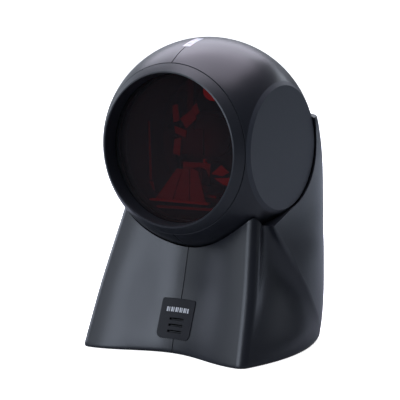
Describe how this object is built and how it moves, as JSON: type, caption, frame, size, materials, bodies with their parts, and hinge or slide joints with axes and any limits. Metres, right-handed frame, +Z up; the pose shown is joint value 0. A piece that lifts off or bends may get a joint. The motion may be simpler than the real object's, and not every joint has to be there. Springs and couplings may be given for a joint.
{
  "type": "presentation barcode scanner",
  "caption": "Hands-free presentation barcode scanner: ball head with a round red window, tilting in a flared weighted stand with side recesses and a speaker grille.",
  "frame": {"origin": "centre of the bounding box at the bottom of the rubber feet", "axes": "+Z up, -Y towards the window, +X to the right seen from the front"},
  "size_m": [0.1052, 0.1036, 0.15],
  "materials": {
    "case_black": "satin",
    "inner_black": "matte",
    "grille_black": "satin",
    "base_black": "matte",
    "seal_rubber": "matte",
    "red_window": "polished",
    "screw_steel": "satin",
    "lens_white": "satin",
    "board_green": "satin",
    "mirror_face": "polished",
    "module_brass": "satin",
    "chip_black": "matte",
    "shoe_grey": "satin",
    "ballast_iron": "rough",
    "socket_black": "satin"
  },
  "bodies": {
    "stand": {"tilt_post": "screw_steel", "friction_shoe": "shoe_grey", "tilt_spring": "screw_steel", "tilt_nut": "screw_steel", "cradle_pads": "shoe_grey", "stand_left": "case_black", "stand_right": "case_black", "stand_screws": "screw_steel", "speaker_grille": "grille_black", "speaker": "chip_black", "speaker_seal": "seal_rubber", "base_plate": "base_black", "base_screws": "screw_steel", "rubber_feet": "seal_rubber", "mounting_inserts": "module_brass", "ballast_weight": "ballast_iron", "ballast_screws": "screw_steel", "interface_board": "board_green", "board_supports": "inner_black", "interface_parts": "chip_black", "cable_socket": "socket_black", "socket_contacts": "module_brass"},
    "head": {"window_bezel": "case_black", "window_gasket": "seal_rubber", "scan_window": "red_window", "window_retainer": "inner_black", "bezel_screws": "screw_steel", "head_shell_left": "case_black", "head_shell_right": "case_black", "head_screws": "screw_steel", "side_cap_left": "case_black", "side_cap_right": "case_black", "indicator_lens": "lens_white", "indicator_leds": "board_green", "optics_frame": "inner_black", "mirror_mounts": "inner_black", "collecting_mirror": "mirror_face", "laser_module": "module_brass", "laser_bracket": "inner_black", "detector_board": "board_green", "detector_arm": "inner_black", "motor_base": "screw_steel", "main_board": "board_green", "board_parts": "chip_black", "board_pillars": "inner_black", "head_plug": "lens_white", "pattern_mirror_left_low": "mirror_face", "pattern_mirror_left_high": "mirror_face", "pattern_mirror_top": "mirror_face", "pattern_mirror_right_high": "mirror_face", "pattern_mirror_right_low": "mirror_face"},
    "wheel": {"motor_shaft": "screw_steel", "motor_rotor": "screw_steel", "mirror_wheel": "mirror_face"}
  },
  "joints": [
    {"name": "head_tilt", "type": "hinge", "parent": "stand", "child": "head", "pos_m": [0, -0.0076, 0.0985], "axis": [1, 0, 0], "range_deg": [-15, 15]},
    {"name": "mirror_wheel_spin", "type": "hinge", "parent": "head", "child": "wheel", "pos_m": [0, -0.0111, 0.0845], "axis": [0, 0, 1], "continuous": true}
  ]
}
